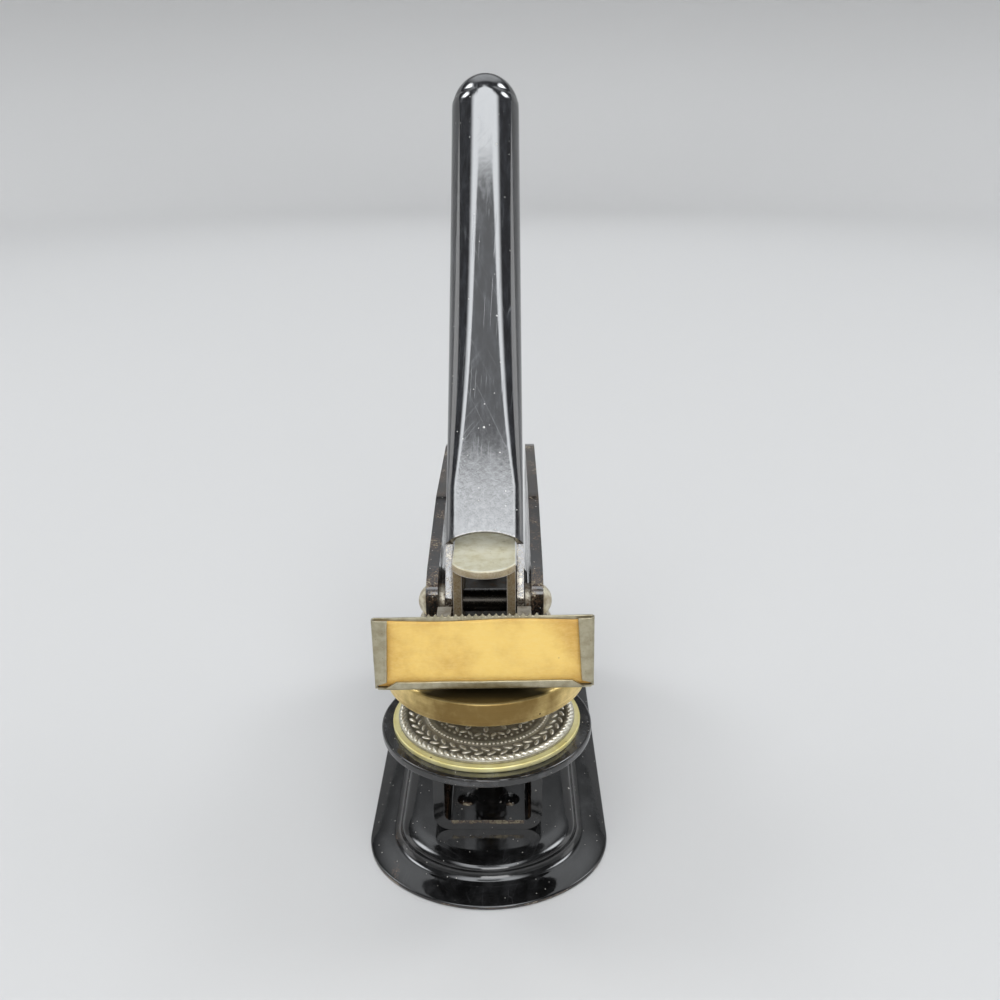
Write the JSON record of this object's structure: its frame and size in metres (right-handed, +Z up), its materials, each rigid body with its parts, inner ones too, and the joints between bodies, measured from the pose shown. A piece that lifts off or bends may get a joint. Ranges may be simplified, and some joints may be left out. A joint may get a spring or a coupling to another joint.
{
  "type": "desk seal embosser",
  "caption": "Hand-lever seal press: a lever with cams drives a round die down onto an engraved die on a folded steel frame and base.",
  "frame": {"origin": "on the table, under the centre of the resting outline's box", "axes": "+Z up, -Y towards the dies and the label holder, +X to the right seen from the dies"},
  "size_m": [0.057, 0.1288, 0.1748],
  "materials": {
    "black_enamel": "glossy baked enamel, worn to bare steel on edges",
    "dark_steel": "oiled dark steel",
    "steel": "plain bright steel, slightly tarnished",
    "pale_brass": "pale lacquered brass",
    "brass": "turned brass, tarnished",
    "die_metal": "engraved white metal",
    "nickel": "aged nickel plate",
    "card": "aged buff card"
  },
  "bodies": {
    "stand": {"base": "black_enamel", "frame": "black_enamel", "frame_rivets": "dark_steel", "anvil_plate": "black_enamel", "backing_disc": "pale_brass", "lower_die": "die_metal", "lower_die_screw": "dark_steel", "pivot_pin": "steel", "pivot_washers": "steel", "guide_post": "steel", "spring_seat": "steel", "return_spring": "steel", "label_bracket": "nickel", "bracket_rivets": "steel", "label_frame": "nickel", "label_rivets": "steel", "label_card": "card"},
    "ram": {"ram_block": "dark_steel", "stirrup": "nickel", "upper_die": "brass", "counter_die": "brass", "upper_die_screw": "dark_steel"},
    "hand_lever": {"lever": "black_enamel"}
  },
  "joints": [
    {"name": "lever_press", "type": "hinge", "parent": "stand", "child": "hand_lever", "pos_m": [0, -0.0381, 0.0636], "axis": [-1, 0, 0], "range_deg": [0, 45], "stiffness_Nm_per_rad": 0.142, "springref_deg": -30.37},
    {"name": "ram_drop", "type": "slide", "parent": "stand", "child": "ram", "axis": [0, 0, -1], "range_m": [0, 0.0074], "deforming": ["return_spring"]}
  ],
  "couplings": [
    {"joint": "ram_drop", "follows": "lever_press", "m_per_rad": 0.009422}
  ]
}
